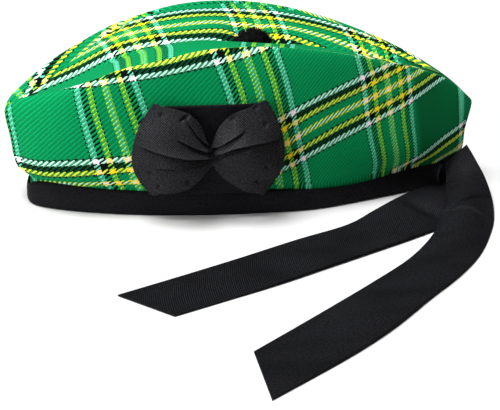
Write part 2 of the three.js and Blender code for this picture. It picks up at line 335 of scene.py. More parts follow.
def woven_colours(tree, along_sett, up_sett, on_top, dots):
    """The cloth's colour from the threads each way, and where both of them are green.

    A Mix node's third output is its colour, and its inputs 6 and 7 are the colours it mixes.
    """
    length_kind = add(tree, "ShaderNodeSeparateColor", inputs={0: sett_ramp(tree, up_sett, KIND)})
    upright_kind = add(tree, "ShaderNodeSeparateColor", inputs={0: sett_ramp(tree, along_sett, KIND)})
    length_green, length_coloured, length_shows = length_kind.outputs[:3]
    upright_green, upright_coloured = upright_kind.outputs[:2]
    length = sett_ramp(tree, up_sett, LENGTHWISE)
    upright = sett_ramp(tree, along_sett, UPRIGHT)
    # A green thread lets the coloured ones under it show through.
    shown = {0: length_green, 1: upright_coloured}
    shown = add(tree, "ShaderNodeMath", {"operation": "MULTIPLY"}, shown)
    shown = add(tree, "ShaderNodeMath", {"operation": "MULTIPLY"}, {0: shown, 1: 0.5})
    length_on_top = add(tree, "ShaderNodeMix", COLOURS, {0: shown, 6: length, 7: upright}).outputs[2]
    dotted = sett_ramp(tree, along_sett, DOTS)
    dotted = add(tree, "ShaderNodeMix", COLOURS, {0: dots, 6: upright, 7: dotted}).outputs[2]
    shown = add(tree, "ShaderNodeMath", {"operation": "MULTIPLY"}, {0: upright_green, 1: length_shows})
    upright_on_top = add(tree, "ShaderNodeMix", COLOURS, {0: shown, 6: dotted, 7: length}).outputs[2]
    cloth = {0: on_top, 6: length_on_top, 7: upright_on_top}
    cloth = add(tree, "ShaderNodeMix", COLOURS, cloth).outputs[2]
    # Where two coloured stripes cross there is no green left, and the colour is full.
    star_length = sett_ramp(tree, up_sett, CROSSING)
    star_upright = sett_ramp(tree, along_sett, CROSSING)
    darker = add(tree, "ShaderNodeMix", DARKER, {0: 1.0, 6: star_length, 7: star_upright}).outputs[2]
    even = add(tree, "ShaderNodeMix", COLOURS, {0: 0.5, 6: star_length, 7: star_upright}).outputs[2]
    star = add(tree, "ShaderNodeMix", COLOURS, {0: 0.45, 6: even, 7: darker}).outputs[2]
    both = {0: length_coloured, 1: upright_coloured}
    both = add(tree, "ShaderNodeMath", {"operation": "MULTIPLY"}, both)
    cloth = add(tree, "ShaderNodeMix", COLOURS, {0: both, 6: cloth, 7: star}).outputs[2]
    both_green = {0: length_green, 1: upright_green}
    both_green = add(tree, "ShaderNodeMath", {"operation": "MULTIPLY"}, both_green)
    return cloth, both_green


print("threads in a sett:", sorted(LENGTHWISE))

# %% The twill cloth


def tartan():
    """Worsted wool twill: soft, matt, a little fuzzy, with strokes that catch the light."""
    material, tree, shader = new_material("worsted_wool_twill_tartan")
    uv = add(tree, "ShaderNodeUVMap", {"uv_map": "threads"}).outputs[0]
    at, up = add(tree, "ShaderNodeSeparateXYZ", inputs={0: uv}).outputs[:2]
    stroke, on_top, dots = twill_strokes(tree, uv, at, up)
    along_sett, up_sett = sett_places(tree, at, up, stroke)
    cloth, both_green = woven_colours(tree, along_sett, up_sett, on_top, dots)

    # At the back the panels are steamed flat over the block, so the nap lies down and even; its dark
    # green is painted shade.
    back = add(tree, "ShaderNodeMapRange", SMOOTH, {0: at, 1: PRESSED_AND_SHADED_FROM, 2: PRESSED_AND_SHADED_FROM + 9.0})
    pressed_and_shaded = add(tree, "ShaderNodeMath", {"operation": "MULTIPLY"}, {0: back, 1: both_green})
    cloth = {0: pressed_and_shaded, 6: cloth, 7: linear("#006034")}
    cloth = add(tree, "ShaderNodeMix", COLOURS, cloth).outputs[2]

    # Each stroke is a rounded thread: highest in its middle, with painted shade where it dives under.
    crest = add(tree, "ShaderNodeMath", {"operation": "SUBTRACT"}, {0: stroke, 1: 0.25})
    crest = add(tree, "ShaderNodeMath", {"operation": "ABSOLUTE"}, {0: crest})
    crest = add(tree, "ShaderNodeMath", {"operation": "MULTIPLY"}, {0: crest, 1: 4.0})
    flattened = add(tree, "ShaderNodeMath", {"operation": "MULTIPLY"}, {0: pressed_and_shaded, 1: 0.7})
    standing = add(tree, "ShaderNodeMath", {"operation": "SUBTRACT"}, {0: 1.0, 1: flattened})
    crest = add(tree, "ShaderNodeMath", {"operation": "MULTIPLY"}, {0: crest, 1: standing})
    fuzz = {"Vector": uv, "Scale": 1.1, "Detail": 3.0, "Roughness": 0.7}
    fuzz = add(tree, "ShaderNodeTexNoise", FLAT, fuzz)
    dive_shade = add(tree, "ShaderNodeMapRange", inputs={0: crest, 1: 0.0, 2: 0.8, 3: 0.80, 4: 1.06})
    worn = add(tree, "ShaderNodeMapRange", inputs={0: fuzz, 1: 0.3, 2: 0.7, 3: 0.90, 4: 1.08})
    shade = add(tree, "ShaderNodeMath", {"operation": "MULTIPLY"}, {0: dive_shade, 1: worn})
    colour = add(tree, "ShaderNodeMix", TIMES, {0: 1.0, 6: cloth, 7: shade}).outputs[2]
    tree.links.new(colour, shader.inputs["Base Color"])

    rough = add(tree, "ShaderNodeMapRange", inputs={0: fuzz, 1: 0.3, 2: 0.7, 3: 0.84, 4: 0.96})
    tree.links.new(rough.outputs[0], shader.inputs["Roughness"])
    height = add(tree, "ShaderNodeMath", {"operation": "MULTIPLY_ADD"}, {0: fuzz, 1: 0.35, 2: crest})
    bump = {"Strength": 0.5, "Distance": 0.0004, "Height": height}
    bump = add(tree, "ShaderNodeBump", inputs=bump)
    tree.links.new(bump.outputs[0], shader.inputs["Normal"])
    shader.inputs["IOR"].default_value = 1.54
    shader.inputs["Specular IOR Level"].default_value = 0.06
    return material


TARTAN = tartan()
print("tartan:", len(TARTAN.node_tree.nodes), "nodes")

# %% [markdown]
# ## Grosgrain: two ribbed ribbons
#
# Grosgrain has a fat weft under a fine warp, which raises ribs across the ribbon, and the warp
# binds them in steps. What the eye sees is a fine lattice of dots that breaks the shine into
# small lights. The band and the tails are cotton, nearly matt, and the bow is rayon, which
# shines more; the bow's rib crowns are also painted lighter, a painted sheen for the light it
# catches. Displacing real ribs would cost millions of faces, so the lattice is a bump and a
# painted sheen: rib crowns painted lighter than the hollows. Real ribs are 0.6 mm apart and
# these are drawn 1.5 mm apart, the finest that still shows.

# %% The ribbons
RIB_MM = 1.5


def grosgrain(name, hollow, crown, gloss):
    """Black ribbed ribbon: near black, with a cool painted sheen on the crowns of its ribs.

    The lattice is two folded sawtooths, of the sum and of the difference of the two places.
    """
    material, tree, shader = new_material(name)
    uv = add(tree, "ShaderNodeUVMap", {"uv_map": "threads"}).outputs[0]
    at, up = add(tree, "ShaderNodeSeparateXYZ", inputs={0: uv}).outputs[:2]
    lattice = []
    for operation in ("ADD", "SUBTRACT"):
        lines = add(tree, "ShaderNodeMath", {"operation": operation}, {0: at, 1: up})
        lines = add(tree, "ShaderNodeMath", {"operation": "PINGPONG"}, {0: lines, 1: RIB_MM / 2})
        lines = add(tree, "ShaderNodeMath", {"operation": "DIVIDE"}, {0: lines, 1: RIB_MM / 2})
        lattice.append(lines)
    speckle = {"Vector": uv, "Scale": 0.85, "Detail": 2.0, "Roughness": 0.8}
    speckle = add(tree, "ShaderNodeTexNoise", FLAT, speckle)
    # Wide soft patches, where the ribbon was pressed flatter or less flat, make the painted sheen
    # stronger or weaker.
    patches = add(tree, "ShaderNodeTexNoise", FLAT, {"Vector": uv, "Scale": 0.03})
    patches = add(tree, "ShaderNodeMapRange", inputs={0: patches, 1: 0.3, 2: 0.7, 3: 0.7, 4: 1.3})
    weave = {0: lattice[1], 1: 0.5, 2: lattice[0]}
    weave = add(tree, "ShaderNodeMath", {"operation": "MULTIPLY_ADD"}, weave)
    weave = add(tree, "ShaderNodeMath", {"operation": "MULTIPLY"}, {0: weave, 1: speckle})
    # Painted sheen: the rib crowns are painted lighter than the hollows.
    painted_sheen = add(tree, "ShaderNodeMapRange", inputs={0: weave, 1: 0.30, 2: 0.75, 3: 0.0, 4: 1.0})
    clamped = {"operation": "MULTIPLY", "use_clamp": True}
    painted_sheen = add(tree, "ShaderNodeMath", clamped, {0: painted_sheen, 1: patches})
    colour = add(tree, "ShaderNodeMix", COLOURS, {0: painted_sheen, 6: linear(hollow), 7: linear(crown)})
    tree.links.new(colour.outputs[2], shader.inputs["Base Color"])
    rough = add(tree, "ShaderNodeMapRange", inputs={0: weave, 1: 0.1, 2: 0.9, 3: 0.72, 4: 0.5})
    tree.links.new(rough.outputs[0], shader.inputs["Roughness"])
    bump = {"Strength": 0.45, "Distance": 0.0003, "Height": weave}
    bump = add(tree, "ShaderNodeBump", inputs=bump)
    tree.links.new(bump.outputs[0], shader.inputs["Normal"])
    shader.inputs["IOR"].default_value = 1.5
    shader.inputs["Specular IOR Level"].default_value = gloss
    return material


# The bow's ribbon is a lighter copy, a little glossier, with its rib crowns painted brighter as a painted
# sheen for the light the bow catches.
GROSGRAIN = grosgrain("cotton_grosgrain_ribbon_painted_sheen", "#030304", "#232327", 0.05)
SHEEN_PAINTED_BOW_GROSGRAIN = grosgrain("rayon_grosgrain_ribbon_painted_lighter", "#040405", "#38383C", 0.12)
print("ribbons:", GROSGRAIN.name, "and", SHEEN_PAINTED_BOW_GROSGRAIN.name)

# %% [markdown]
# ## Wool yarn
#
# The toorie's yarn is brushed wool. Its fibres lie every way and throw no shine back, so it is
# the blackest thing on the cap. A fibre shader would need real fibres. Here a very rough
# shader with hardly any gloss is enough, since the shape of the yarn ends does the rest, and a
# trace of sheen stands for the fuzz. Clumps a millimetre wide vary the black.

# %% The yarn


def wool_yarn():
    """Brushed black wool: no shine at all, only a faint halo where fibres stand out."""
    material, tree, shader = new_material("brushed_wool_yarn")
    where = add(tree, "ShaderNodeTexCoord").outputs["Object"]
    clumps = add(tree, "ShaderNodeTexNoise", inputs={"Vector": where, "Scale": 900.0, "Detail": 2.0})
    colour = {0: clumps, 6: linear("#010101"), 7: linear("#0A0A0C")}
    colour = add(tree, "ShaderNodeMix", COLOURS, colour)
    tree.links.new(colour.outputs[2], shader.inputs["Base Color"])
    shader.inputs["Roughness"].default_value = 0.95
    shader.inputs["Specular IOR Level"].default_value = 0.1
    shader.inputs["Sheen Weight"].default_value = 0.01
    return material


WOOL = wool_yarn()
print("materials:", [m.name for m in (TARTAN, GROSGRAIN, SHEEN_PAINTED_BOW_GROSGRAIN, WOOL)])

# %% [markdown]
# ## The form of the cap
#
# The cap has no straight line in it, so its form is a table: fourteen cross-sections from the
# front seam to the back seam. Each one gives the foot inside the band, the belly, the shoulder
# and the seam to the crown, and how far the crown dips. The frame was made from nearly the
# same rows, with a foot a little narrower behind the middle. Smooth curves through the rows
# and through each section's points make the surface. Sculpting could find such a form too, but
# a table can be read, measured and mirrored.

# %% The table of sections
# In mm: the band's height, and half the gap between the two sides at the front and back seams.
BAND_HEIGHT = 16.0
HALF_GAP = 0.15
SECTIONS = np.array([
    # foot: x, half, z      belly: x, half, z     shoulder: x, half, z   seam: x, half, z      dip
    [-136.6, 0.0, 3, -148.0, 0.0, 42, -151.0, 0.0, 60.0, -149.8, 0.0, 63.6, 0.0],
    [-135.7, 7.0, 3, -146.6, 9.0, 42, -148.5, 6.4, 64.8, -144.5, 0.0, 66.2, 0.0],
    [-130.8, 14.0, 3, -141.0, 18.0, 43, -141.5, 12.8, 71.0, -136.5, 0.2, 68.6, 0.0],
    [-119.5, 20.6, 3, -129.0, 29.0, 45, -126.0, 25.2, 79.6, -122.0, 12.8, 75.0, 1.5],
    [-101.0, 27.4, 3, -107.0, 39.0, 48, -104.0, 38.0, 89.4, -104.0, 27.6, 84.6, 4.5],
    [-70.0, 34.6, 3, -73.0, 45.5, 52, -73.0, 43.8, 102.4, -73.0, 38.6, 101.0, 7.0],
    [-33.0, 39.2, 3, -35.0, 48.5, 55, -35.0, 46.0, 112.0, -35.0, 42.2, 111.2, 9.0],
    [5.0, 39.9, 3, 5.0, 48.0, 55, 5.0, 44.6, 113.4, 5.0, 41.0, 112.6, 10.0],
    [42.0, 36.8, 3, 43.0, 42.5, 53, 42.0, 38.6, 107.8, 42.0, 35.4, 107.2, 12.5],
    [77.0, 25.2, 3, 79.0, 32.0, 49, 77.0, 29.4, 97.6, 77.0, 26.4, 97.1, 9.5],
    [106.0, 14.0, 3, 109.0, 21.0, 45, 107.0, 17.2, 85.8, 107.0, 14.2, 85.4, 5.0],
    [126.0, 6.6, 3, 130.0, 11.0, 41, 127.5, 6.4, 75.0, 127.5, 3.6, 74.8, 1.5],
    [133.5, 2.8, 9, 139.5, 5.4, 38, 139.5, 2.0, 66.0, 138.5, 0.5, 66.6, 0.0],
    [139.8, 0.0, 15, 145.4, 0.0, 36, 149.2, 0.0, 55.5, 147.6, 0.0, 58.2, 0.0],
])
FOOT, BELLY, SHOULDER, SEAM, DIP = slice(0, 3), slice(3, 6), slice(6, 9), slice(9, 12), 12
LAST = len(SECTIONS) - 1
print("cap from", SECTIONS[:, SHOULDER][0, 0], "to", SECTIONS[:, SHOULDER][-1, 0], "mm along")

# %% A curve through the rows of a table


def along(rows, place):
    """Rows of a table at fractional row numbers, on a uniform Catmull-Rom curve.

    Between rows b and c, with a before and d after: a cubic that leaves b with the slope
    (c - a)/2 and reaches c with the slope (d - b)/2.
    """
    place = np.asarray(place, float)
    k = np.clip(np.floor(place).astype(int), 0, len(rows) - 2)
    t = (place - k)[..., None]
    a, b, c, d = (rows[np.clip(k + i, 0, len(rows) - 1)] for i in (-1, 0, 1, 2))
    leave = (c - a) / 2
    reach = (d - b) / 2
    bend = (2 * t - 3) * t * t * (b - c)
    return b + bend + ((t - 2) * t + 1) * t * leave + (t - 1) * t * t * reach


print("a quarter of the way from section 6 to 7:", along(SECTIONS, 6.25)[SEAM].round(1))

# %% The side of the cap
SEAM_AT = 5


def side_surface(u, v):
    """The side panel on +Y, in mm: u runs over the sections, v from foot (0) to seam (5).

    Each section's six points (foot, cuff, rise, belly, shoulder, seam) are joined by a
    centripetal Catmull-Rom curve, whose knots are the square roots of the distances. The cuff
    is just above the band, over the foot. The rise is 0.72 of the way out from foot to belly
    and 0.34 of the way up from the band to it, which makes the side swell out early.
    """
    rows = along(SECTIONS, u)
    foot, belly = rows[:, FOOT], rows[:, BELLY]
    cuff = foot.copy()
    cuff[:, 2] = BAND_HEIGHT + 0.5
    rise = foot + 0.72 * (belly - foot)
    rise[:, 2] = BAND_HEIGHT + 0.34 * (belly[:, 2] - BAND_HEIGHT)
    points = np.stack([foot, cuff, rise, belly, rows[:, SHOULDER], rows[:, SEAM]], 1)
    before = 2 * points[:, :1] - points[:, 1:2]
    beyond = 2 * points[:, -1:] - points[:, -2:-1]
    points = np.concatenate([before, points, beyond], 1)
    k = np.minimum(v.astype(int), SEAM_AT - 1)
    t = (v - k)[None, :, None]
    a, b, c, d = (points[:, k + i] for i in range(4))
    first, middle, last = (
        np.sqrt(np.linalg.norm(q - p, axis=2, keepdims=True)) for p, q in ((a, b), (b, c), (c, d))
    )
    # Two points that fall together would give a knot of 0, so a neighbour's is used.
    middle = np.where(middle < 1e-4, 1.0, middle)
    first = np.where(first < 1e-4, middle, first)
    last = np.where(last < 1e-4, middle, last)
    leave = ((b - a) / first - (c - a) / (first + middle) + (c - b) / middle) * middle
    reach = ((c - b) / middle - (d - b) / (middle + last) + (d - c) / last) * middle
    squared = 3 * (c - b) - 2 * leave - reach
    cubed = 2 * (b - c) + leave + reach
    surface = b + leave * t + squared * t**2 + cubed * t**3
    surface[..., 1] = np.maximum(surface[..., 1], HALF_GAP)
    return surface


stations = np.linspace(0, LAST, 5)
print("belly half-widths, front to back:", side_surface(stations, np.array([3.0]))[:, 0, 1].round(1))

# %% The slump of the near ridge


def near_slump(x):
    """How much lower the near ridge hangs than the far one, in mm.

    A low flat-topped bell over the middle, and a higher narrow one above the bow's front loop.
    """
    return 1.0 * np.exp(-(((x + 5) / 70) ** 4)) + 2.4 * np.exp(-(((x + 54) / 18) ** 2))


print("near ridge hangs lower by", near_slump(np.array([-54.0, 0.0, 60.0])).round(1), "mm")

# %% [markdown]
# ## How the tartan lies on each piece
#
# The pieces were cut from flat cloth, and not square to its threads: the near panel is turned
# about fifteen degrees, so its stripes climb towards the back. Sewing then eased and bent
# them a little. A cloth simulation could find that bend but would not say where the stripes
# fall, so each piece has a short table instead. It says how much flat cloth has been passed,
# both ways, at a few places of the piece, and smooth curves join the places. The counts become
# the UV map, so the weave bends with them.

# %% Thread counts over the panels
# Each row: how far along the piece; then the upright threads passed, at four heights; then the
# lengthwise threads passed, at the same four heights. All in mm of flat cloth. The far panel is
# cut square to the foot, so its counts follow a plain rule.
PANEL_STEP, PANEL_RISE = 55.0, 35.0
PANEL_THREADS = {
    "left_side": np.array([
        # at   up to it, at 0, 35, 70 and 105 mm up     along to it, at the same heights
        [0, 11, 10, 13, 18, -84, -51, -20, 14],
        [55, 51, 56, 65, 72, -90, -60, -26, 8],
        [110, 99, 105, 114, 124, -96, -65, -33, -1],
        [165, 152, 158, 166, 176, -106, -74, -43, -11],
        [220, 205, 214, 220, 227, -132, -100, -62, -25],
        [275, 267, 275, 277, 284, -158, -122, -81, -40],
        [330, 339, 342, 344, 345, -186, -148, -97, -51],
    ]),
    "right_side": np.array([
        [PANEL_STEP * k, *[round(55.2 * k - 12.8)] * 4, -73, -46, -19, 9] for k in range(7)
    ]),
}
print("rows of thread counts:", {name: len(table) for name, table in PANEL_THREADS.items()})

# %% Thread counts over the crown
CROWN_STEP, CROWN_ACROSS = 50.0, 17.0
CROWN_THREADS = np.array([
    # at    up to it, at six places from the near seam to the far one     along to it, at the same
    [-130, 14, 16, 19, 22, 27, 33, -50, -38, -26, -16, -2, 12],
    [-80, 70, 70, 70, 73, 77, 84, -54, -40, -28, -17, 1, 20],
    [-30, 126, 124, 124, 126, 130, 133, -52, -37, -24, -11, 9, 26],
    [20, 185, 182, 181, 182, 186, 193, -46, -34, -23, -12, 12, 30],
    [70, 246, 243, 240, 242, 248, 252, -32, -22, -12, 1, 19, 33],
    [120, 308, 306, 303, 302, 305, 309, -12, -5, 3, 12, 24, 35],
])


def threads_passed(table, row, column):
    """Both thread counts at fractional rows and columns of a table: a smooth curve each way.

    Curve weights times table times curve weights, where the weights of a Catmull-Rom curve
    are the curve through the rows of a unit matrix.
    """
    across = (table.shape[1] - 1) // 2
    row_weights = along(np.eye(len(table)), np.clip(row, 0, len(table) - 1))
    column_weights = along(np.eye(across), np.clip(column, 0, across - 1))
    counts = [
        np.einsum("...i,ij,...j", row_weights, half, column_weights)
        for half in (table[:, 1:1 + across], table[:, 1 + across:])
    ]
    return np.stack(counts, -1)


middle_count = threads_passed(PANEL_THREADS["left_side"], 3.0, 1.5)
print("threads passed at the near panel's middle:", middle_count.round(1))

# %% [markdown]
# ## The side panels
#
# On the real cap each side is one piece of tartan, blocked over a form until it swells at the
# belly. Two planes with a subdivision modifier would give a smooth shape, but no hold on where
# the ridge and the foot run. Here a panel is the section surface itself with slow low waves, as
# soft cloth has, and a second face two millimetres further in. Near the ridge the near panel
# hangs a little lower than the far one, and its seam runs along a yellow thread.

# %% Waves and area of cloth


def soft_swell(a, b):
    """Small low waves of soft cloth, in mm: three slow sines over the panel's own distances."""
    wide = 0.45 * np.sin(a / 31 + b / 23)
    middling = 0.3 * np.sin(a / 17 - b / 29 + 1.3)
    narrow = 0.2 * np.sin(a / 9.5 + b / 13)
    return wide + middling + narrow


print("waves up to", round(float(soft_swell(*np.mgrid[0:330, 0:110]).max()), 2), "mm high")

# %% Side panels
CLOTH = 2.0
PANEL_ALONG = 331
PANEL_UP = 76
# Rows of the grid: the cuff and the belly from the foot up, the ridge from the seam down.
CUFF_ROW, BELLY_ROW, RIDGE_ROW = 15, 45, -13
# Where the seam runs along the yellow thread, and how far below it the slump reaches, in mm.
RIDGE_FROM, RIDGE_TO = 95.0, 255.0
YELLOW_THREAD = -10.3
SLUMP_FADE = 24.0


def side_panel(name, side):
    """One side of the cap: the section surface, swelled a little, with a face inside it.

    The swell dies out towards the front and back seams, the band and the ridge. The slump of
    the near ridge dies out below it.
    """
    surface = side_surface(np.linspace(0, LAST, PANEL_ALONG), np.linspace(0, SEAM_AT, PANEL_UP))
    distance = arc_length(surface, 0)[:, BELLY_ROW, None] + np.zeros(surface.shape[:2])
    height = arc_length(surface, 1)
    height = height - height[:, CUFF_ROW, None]
    below_ridge = height[:, -1:] - height
    out = normals(surface)
    out = out * np.sign(out[PANEL_ALONG // 2, BELLY_ROW, 1])
    ends = np.clip(np.minimum(distance, distance[-1, 0] - distance) / 25, 0, 1)
    middle = np.clip(height / 15, 0, 1) * np.clip(below_ridge / 12, 0, 1)
    outer = surface + out * (soft_swell(distance + 40 * side, height) * ends * middle)[..., None]
    inner = outer - CLOTH * out
    for layer in (outer, inner):
        layer[..., 1] = side * np.maximum(layer[..., 1], HALF_GAP)
        if side < 0:
            part = np.clip(1 - below_ridge / SLUMP_FADE, 0, 1) ** 2
            layer[..., 2] -= near_slump(layer[..., 0]) * part
    threads = threads_passed(PANEL_THREADS[name], distance / PANEL_STEP, height / PANEL_RISE)
    if side < 0:
        # The seam of the near side runs along a yellow thread for most of the ridge.
        on_ridge = height > height[:, RIDGE_ROW, None]
        on_ridge = on_ridge & (distance > RIDGE_FROM) & (distance < RIDGE_TO)
        threads[..., 1] = np.where(on_ridge, YELLOW_THREAD, threads[..., 1])
    panel = wall(name, outer, inner, threads, TARTAN)
    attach(panel, "root")
    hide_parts(name)
    print(f"{name}: {distance.max():.0f} mm along, {height.max():.0f} mm up")


side_panel("left_side", -1)
side_panel("right_side", 1)

# %% [markdown]
# ## The crown and the pull of the toorie
#
# The crown is one leaf of cloth sewn between the two ridges. It sags to a valley along the
# middle, and the stitch that holds the toorie draws it down into a round pit with small
# puckers. A cloth simulation could sag it, but the pit and the puckers would fall where they
# like. Here all of them are heights added to the plane of the seams, so the crown is one
# height function, and the toorie asks the crown where it may sit.

# %% Crown
CROWN_FROM, CROWN_TO = 2.25, 11.6
TOORIE_X, TOORIE_Z, TOORIE_RADIUS = 7.4, 97.2, 12.0
PIT_DEPTH, PIT_RADIUS = 11.0, 16.0
PUCKERS = 7
CROWN_ALONG, CROWN_WIDE = 301, 101


def crown_surface(u, w):
    """The crown in mm. Height = seam height - valley - pit + puckers and waves - slump.

    The valley is dip * (1 - |w|)^1.6, softened at the middle. The pit is a bell around the
    toorie, and the puckers are a cosine round it that fades with the distance. They and the
    waves die out at the seams. The slump is the near ridge's, and fades to the valley.
    """
    rows = along(SECTIONS, u)
    seam = rows[:, SEAM]
    w = w[None, :]
    x = seam[:, :1] + 0 * w
    y = w * (seam[:, 1:2] - 0.1)
    soft = np.sqrt(w**2 + 0.003)
    valley = rows[:, DIP, None] * np.maximum(1 - soft, 0) ** 1.6
    radius = np.hypot(x - TOORIE_X, y)
    turn = np.arctan2(y, x - TOORIE_X)
    pit = PIT_DEPTH * np.exp(-(radius / PIT_RADIUS) ** 2)
    puckers = 0.7 * np.cos(PUCKERS * turn + 0.6) * np.exp(-((radius - 15) / 7) ** 2)
    waves = 0.25 * np.sin(x / 11 + y / 7)
    rim = 1 - np.abs(w) ** 6
    z = seam[:, 2:3] - valley - pit + (puckers + waves) * rim
    z = z - near_slump(x) * np.clip(-w, 0, 1) ** 1.8
    return np.stack([x, y, z], -1)


def crown():
    """The crown's cloth: its height surface above, and the same surface two mm lower."""
    u = np.linspace(CROWN_FROM, CROWN_TO, CROWN_ALONG)
    outer = crown_surface(u, np.linspace(-1, 1, CROWN_WIDE))
    inner = outer - np.array([0, 0, CLOTH])
    row = (outer[..., 0] - CROWN_THREADS[0, 0]) / CROWN_STEP
    column = outer[..., 1] / CROWN_ACROSS + 2.5
    threads = threads_passed(CROWN_THREADS, row, column)
    piece = wall("crown", outer, inner, threads, TARTAN)
    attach(piece, "root")
    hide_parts("crown")
    return outer


CROWN_GRID = crown()

# %% [markdown]
# ## The toorie
#
# A toorie is a pompom: yarn tied at its middle and trimmed to a ball. A sphere would look
# like a bead. Particle hair is one way to make fibres, but it does not export, so this one is a
# core ball with fifteen hundred tapered yarn ends, all built at once from arrays. Each end has
# only three sides, since nobody can count them. Directions come from a seeded random
# generator, so every run gives the same ball. Points that would go through the crown are
# lifted onto it, so the ball sits in its pit.

# %% Toorie core
CORE_RINGS, CORE_AROUND = 26, 48
TOORIE_MIDDLE = np.array([TOORIE_X, 0, TOORIE_Z])


def yarn_core():
    """A ball of rings, 1 mm inside the toorie's radius, with slow lumps and two closed poles."""
    around = np.linspace(0, 2 * np.pi, CORE_AROUND + 1)[:-1]
    down = np.linspace(0.03, np.pi - 0.03, CORE_RINGS)[:, None]
    ring = np.sin(down)
    ball = np.stack([ring * np.cos(around), ring * np.sin(around), np.cos(down) + 0 * around], -1)
    lumps = 1 + 0.03 * np.sin(5 * around + 9 * down) + 0.02 * np.sin(11 * around - 7 * down)
    points = ball * (TOORIE_RADIUS - 1.0) * lumps[..., None] + TOORIE_MIDDLE
    points = points.reshape(-1, 3)
    at = np.arange(CORE_RINGS * CORE_AROUND).reshape(CORE_RINGS, CORE_AROUND)
    after = np.roll(at, -1, axis=1)
    sides = np.stack([at[:-1], at[1:], after[1:], after[:-1]], -1).reshape(-1, 4)
    top = np.full(CORE_AROUND, len(points))
    lids = np.concatenate([
        np.stack([at[0], after[0], top], -1),
        np.stack([after[-1], at[-1], top + 1], -1),
    ])
    tips = [[TOORIE_X, 0, points[:, 2].max()], [TOORIE_X, 0, points[:, 2].min()]]
    triangles = np.concatenate([sides[:, [0, 1, 2]], lids, sides[:, [0, 2, 3]]])
    return np.concatenate([points, tips]), triangles


print("core of the toorie:", len(yarn_core()[1]), "triangles")

# %% Yarn ends
YARN_ENDS = 1500
YARN_SIDES = 3
# Rings along a yarn end and its half-width at each of them, in mm.
YARN_WIDTHS = np.array([0.42, 0.42, 0.34, 0.10])
YARN_RINGS = len(YARN_WIDTHS)


def yarn_ends():
    """Tapered yarn: each end starts in the core, bends a little, and has three sides.

    Point = centre + direction * reach + sideways bend * (part of its length)^2, and a small
    triangle round it that narrows to the tip. The ends are spread by the golden angle.
    """
    rng = np.random.default_rng(7)
    k = np.arange(YARN_ENDS)
    height = 1 - 1.75 * (k + 0.5) / YARN_ENDS
    angle = k * np.pi * (3 - np.sqrt(5)) + rng.normal(0, 0.1, YARN_ENDS)
    ring = np.sqrt(1 - height**2)
    way = np.stack([ring * np.cos(angle), ring * np.sin(angle), height], -1)
    bend = rng.normal(0, 1.0, (YARN_ENDS, 3))
    part = np.linspace(0, 1, YARN_RINGS)
    reach = (TOORIE_RADIUS - 2.5) + part[None] * (2.6 + rng.uniform(-0.5, 0.9, (YARN_ENDS, 1)))
    centre = way[:, None] * reach[..., None] + bend[:, None] * (part**2)[None, :, None] * 0.7
    side = np.cross(way, np.array([0.3, 0.2, 0.9]))
    side /= np.linalg.norm(side, axis=1, keepdims=True)
    other = np.cross(way, side)
    corner = 2 * np.pi * np.arange(YARN_SIDES) / YARN_SIDES
    round_it = side[:, None, None] * np.cos(corner)[None, None, :, None]
    round_it = round_it + other[:, None, None] * np.sin(corner)[None, None, :, None]
    points = centre[:, :, None] + round_it * YARN_WIDTHS[None, :, None, None] + TOORIE_MIDDLE
    at = np.arange(YARN_ENDS * YARN_RINGS * YARN_SIDES).reshape(YARN_ENDS, YARN_RINGS, YARN_SIDES)
    after = np.roll(at, -1, axis=2)
    quads = np.stack([at[:, :-1], after[:, :-1], after[:, 1:], at[:, 1:]], -1).reshape(-1, 4)
    caps = np.concatenate([at[:, -1], at[:, 0, ::-1]])
    return points.reshape(-1, 3), np.concatenate([quads[:, [0, 1, 2]], quads[:, [0, 2, 3]], caps])


print("yarn ends:", YARN_ENDS, "with", len(yarn_ends()[1]) // YARN_ENDS, "triangles each")

# %% Toorie


def crown_height(x, y):
    """The crown's height under a point, from the nearest crown grid point."""
    flat = CROWN_GRID[::3, ::2].reshape(-1, 3)
    near = (flat[None, :, :2] - np.stack([x, y], -1)[:, None, :]) ** 2
    return flat[near.sum(2).argmin(1), 2]


def toorie():
    """Core and yarn ends in one mesh, lifted wherever they would go through the crown."""
    core, core_faces = yarn_core()
    ends, end_faces = yarn_ends()
    points = np.concatenate([core, ends])
    floor = crown_height(points[:, 0], points[:, 1]) + 0.6
    points[:, 2] = np.maximum(points[:, 2], floor)
    faces = np.concatenate([core_faces, end_faces + len(core)])
    piece = mesh_object("toorie", points * MM, faces, points[:, :2], WOOL)
    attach(piece, "root")
    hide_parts("toorie")


toorie()

# %% [markdown]
# ## The band
#
# The mouth of the cap is bound with ribbon folded over the cloth's edge: it goes down outside,
# under and up inside, a little puffed. That is a profile carried along a path. A curve
# object with a bevel could do it, but its section would turn at the sharp front, so the
# profile is carried by hand: each point is the path's point plus a distance outwards. The
# path starts and ends at the back, where the fold is cut open and its edge turned over.

# %% Section and path of the band
# Section of the folded ribbon, outside to inside: distance out from the cloth, height, in mm.
BAND_OUTSIDE = np.array([
    [0.9, 16.2], [2.4, 14.6], [3.5, 9.0], [3.3, 3.4],
    [1.6, 0.2], [-3.0, 0.0], [-5.0, 2.6], [-3.6, 15.0],
])
BAND_INSIDE = np.array([
    [0.5, 15.6], [1.7, 14.0], [2.7, 9.0], [2.5, 3.8],
    [1.2, 1.0], [-2.7, 0.9], [-4.1, 3.2], [-2.8, 14.8],
])
BAND_END_X = 127.0


def section_at(x):
    """The first place on the sections, to a part in two thousand, whose foot is behind x."""
    fine = np.linspace(0, LAST, 2001)
    return fine[np.argmax(along(SECTIONS, fine)[:, 0] > x)]


def foot_path(t):
    """The foot of the cap, seen from above: sections |t|, on the side of the sign of t."""
    foot = along(SECTIONS, np.abs(t))[:, FOOT]
    return np.stack([foot[:, 0], np.sign(t) * foot[:, 1], 0 * t], -1)


print("the open ends are at section", round(float(section_at(BAND_END_X)), 2), "of", LAST)

# %% The folded band
BAND_ALONG, BAND_ROUND = 521, 57


